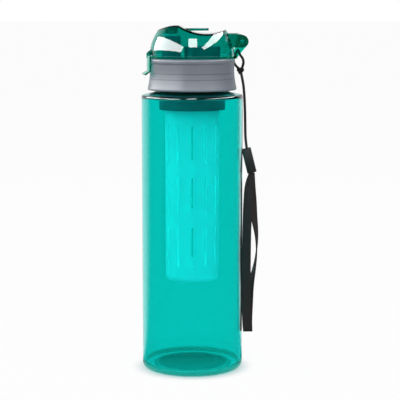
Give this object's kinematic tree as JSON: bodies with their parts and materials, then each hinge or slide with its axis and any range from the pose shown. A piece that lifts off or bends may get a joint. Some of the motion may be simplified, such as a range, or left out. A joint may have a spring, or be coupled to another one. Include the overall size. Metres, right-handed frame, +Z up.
{
  "type": "fruit infuser water bottle",
  "caption": "Clear teal screw-top drinking bottle with a hanging fruit infuser basket, a latched flip cover over the spout and a wrist lanyard.",
  "frame": {"origin": "centre of the base ring, on the surface the bottle stands on", "axes": "+Z up the bottle's axis, +X towards the hinge and the lanyard, -X towards the latch"},
  "size_m": [0.0845, 0.072, 0.2465],
  "materials": {
    "teal_clear": "clear tinted, polished",
    "basket_clear": "clear, lightly frosted",
    "grey_plastic": "satin moulded",
    "silicone": "soft matte",
    "steel": "drawn",
    "black_cord": "braided",
    "black_sleeve": "fine grained",
    "black_webbing": "woven"
  },
  "bodies": {
    "bottle": {"bottle_body": "teal_clear"},
    "seal": {"mouth_seal": "silicone"},
    "lid": {"screw_cap": "grey_plastic", "hinge_ring": "teal_clear", "hinge_pin": "steel", "drinking_spout": "grey_plastic", "vent_valve": "silicone", "infuser_seal": "silicone"},
    "cover": {"flip_cover": "teal_clear", "spout_plug": "silicone", "latch_pin": "steel"},
    "latch": {"latch_lever": "teal_clear"},
    "infuser": {"infuser_head": "grey_plastic", "infuser_basket": "basket_clear"},
    "lanyard": {"lanyard_loop": "black_cord", "lanyard_knot": "black_cord", "lanyard_strand_front": "black_cord", "lanyard_strand_back": "black_cord", "lanyard_ferrule": "black_sleeve", "wrist_strap": "black_webbing"}
  },
  "joints": [
    {"name": "lid_rise", "type": "slide", "parent": "bottle", "child": "seal", "axis": [0, 0, 1], "range_m": [0, 0.0061]},
    {"name": "lid_screw", "type": "hinge", "parent": "seal", "child": "lid", "pos_m": [0, 0, 0.21], "axis": [0, 0, 1], "range_deg": [0, 540]},
    {"name": "cover_flip", "type": "hinge", "parent": "lid", "child": "cover", "pos_m": [0.0352, 0, 0.2353], "axis": [0, 1, 0], "range_deg": [0, 130]},
    {"name": "latch_swing", "type": "hinge", "parent": "cover", "child": "latch", "pos_m": [-0.0306, 0, 0.2266], "axis": [0, 1, 0], "range_deg": [0, 80]},
    {"name": "infuser_pull", "type": "slide", "parent": "lid", "child": "infuser", "axis": [0, 0, -1], "range_m": [0, 0.0125]},
    {"name": "lanyard_swing", "type": "hinge", "parent": "lid", "child": "lanyard", "pos_m": [0.0328, 0.0095, 0.2289], "axis": [0, -1, 0], "range_deg": [0, 60]}
  ],
  "couplings": [
    {"joint": "lid_rise", "follows": "lid_screw", "m_per_rad": 0.00063662}
  ]
}
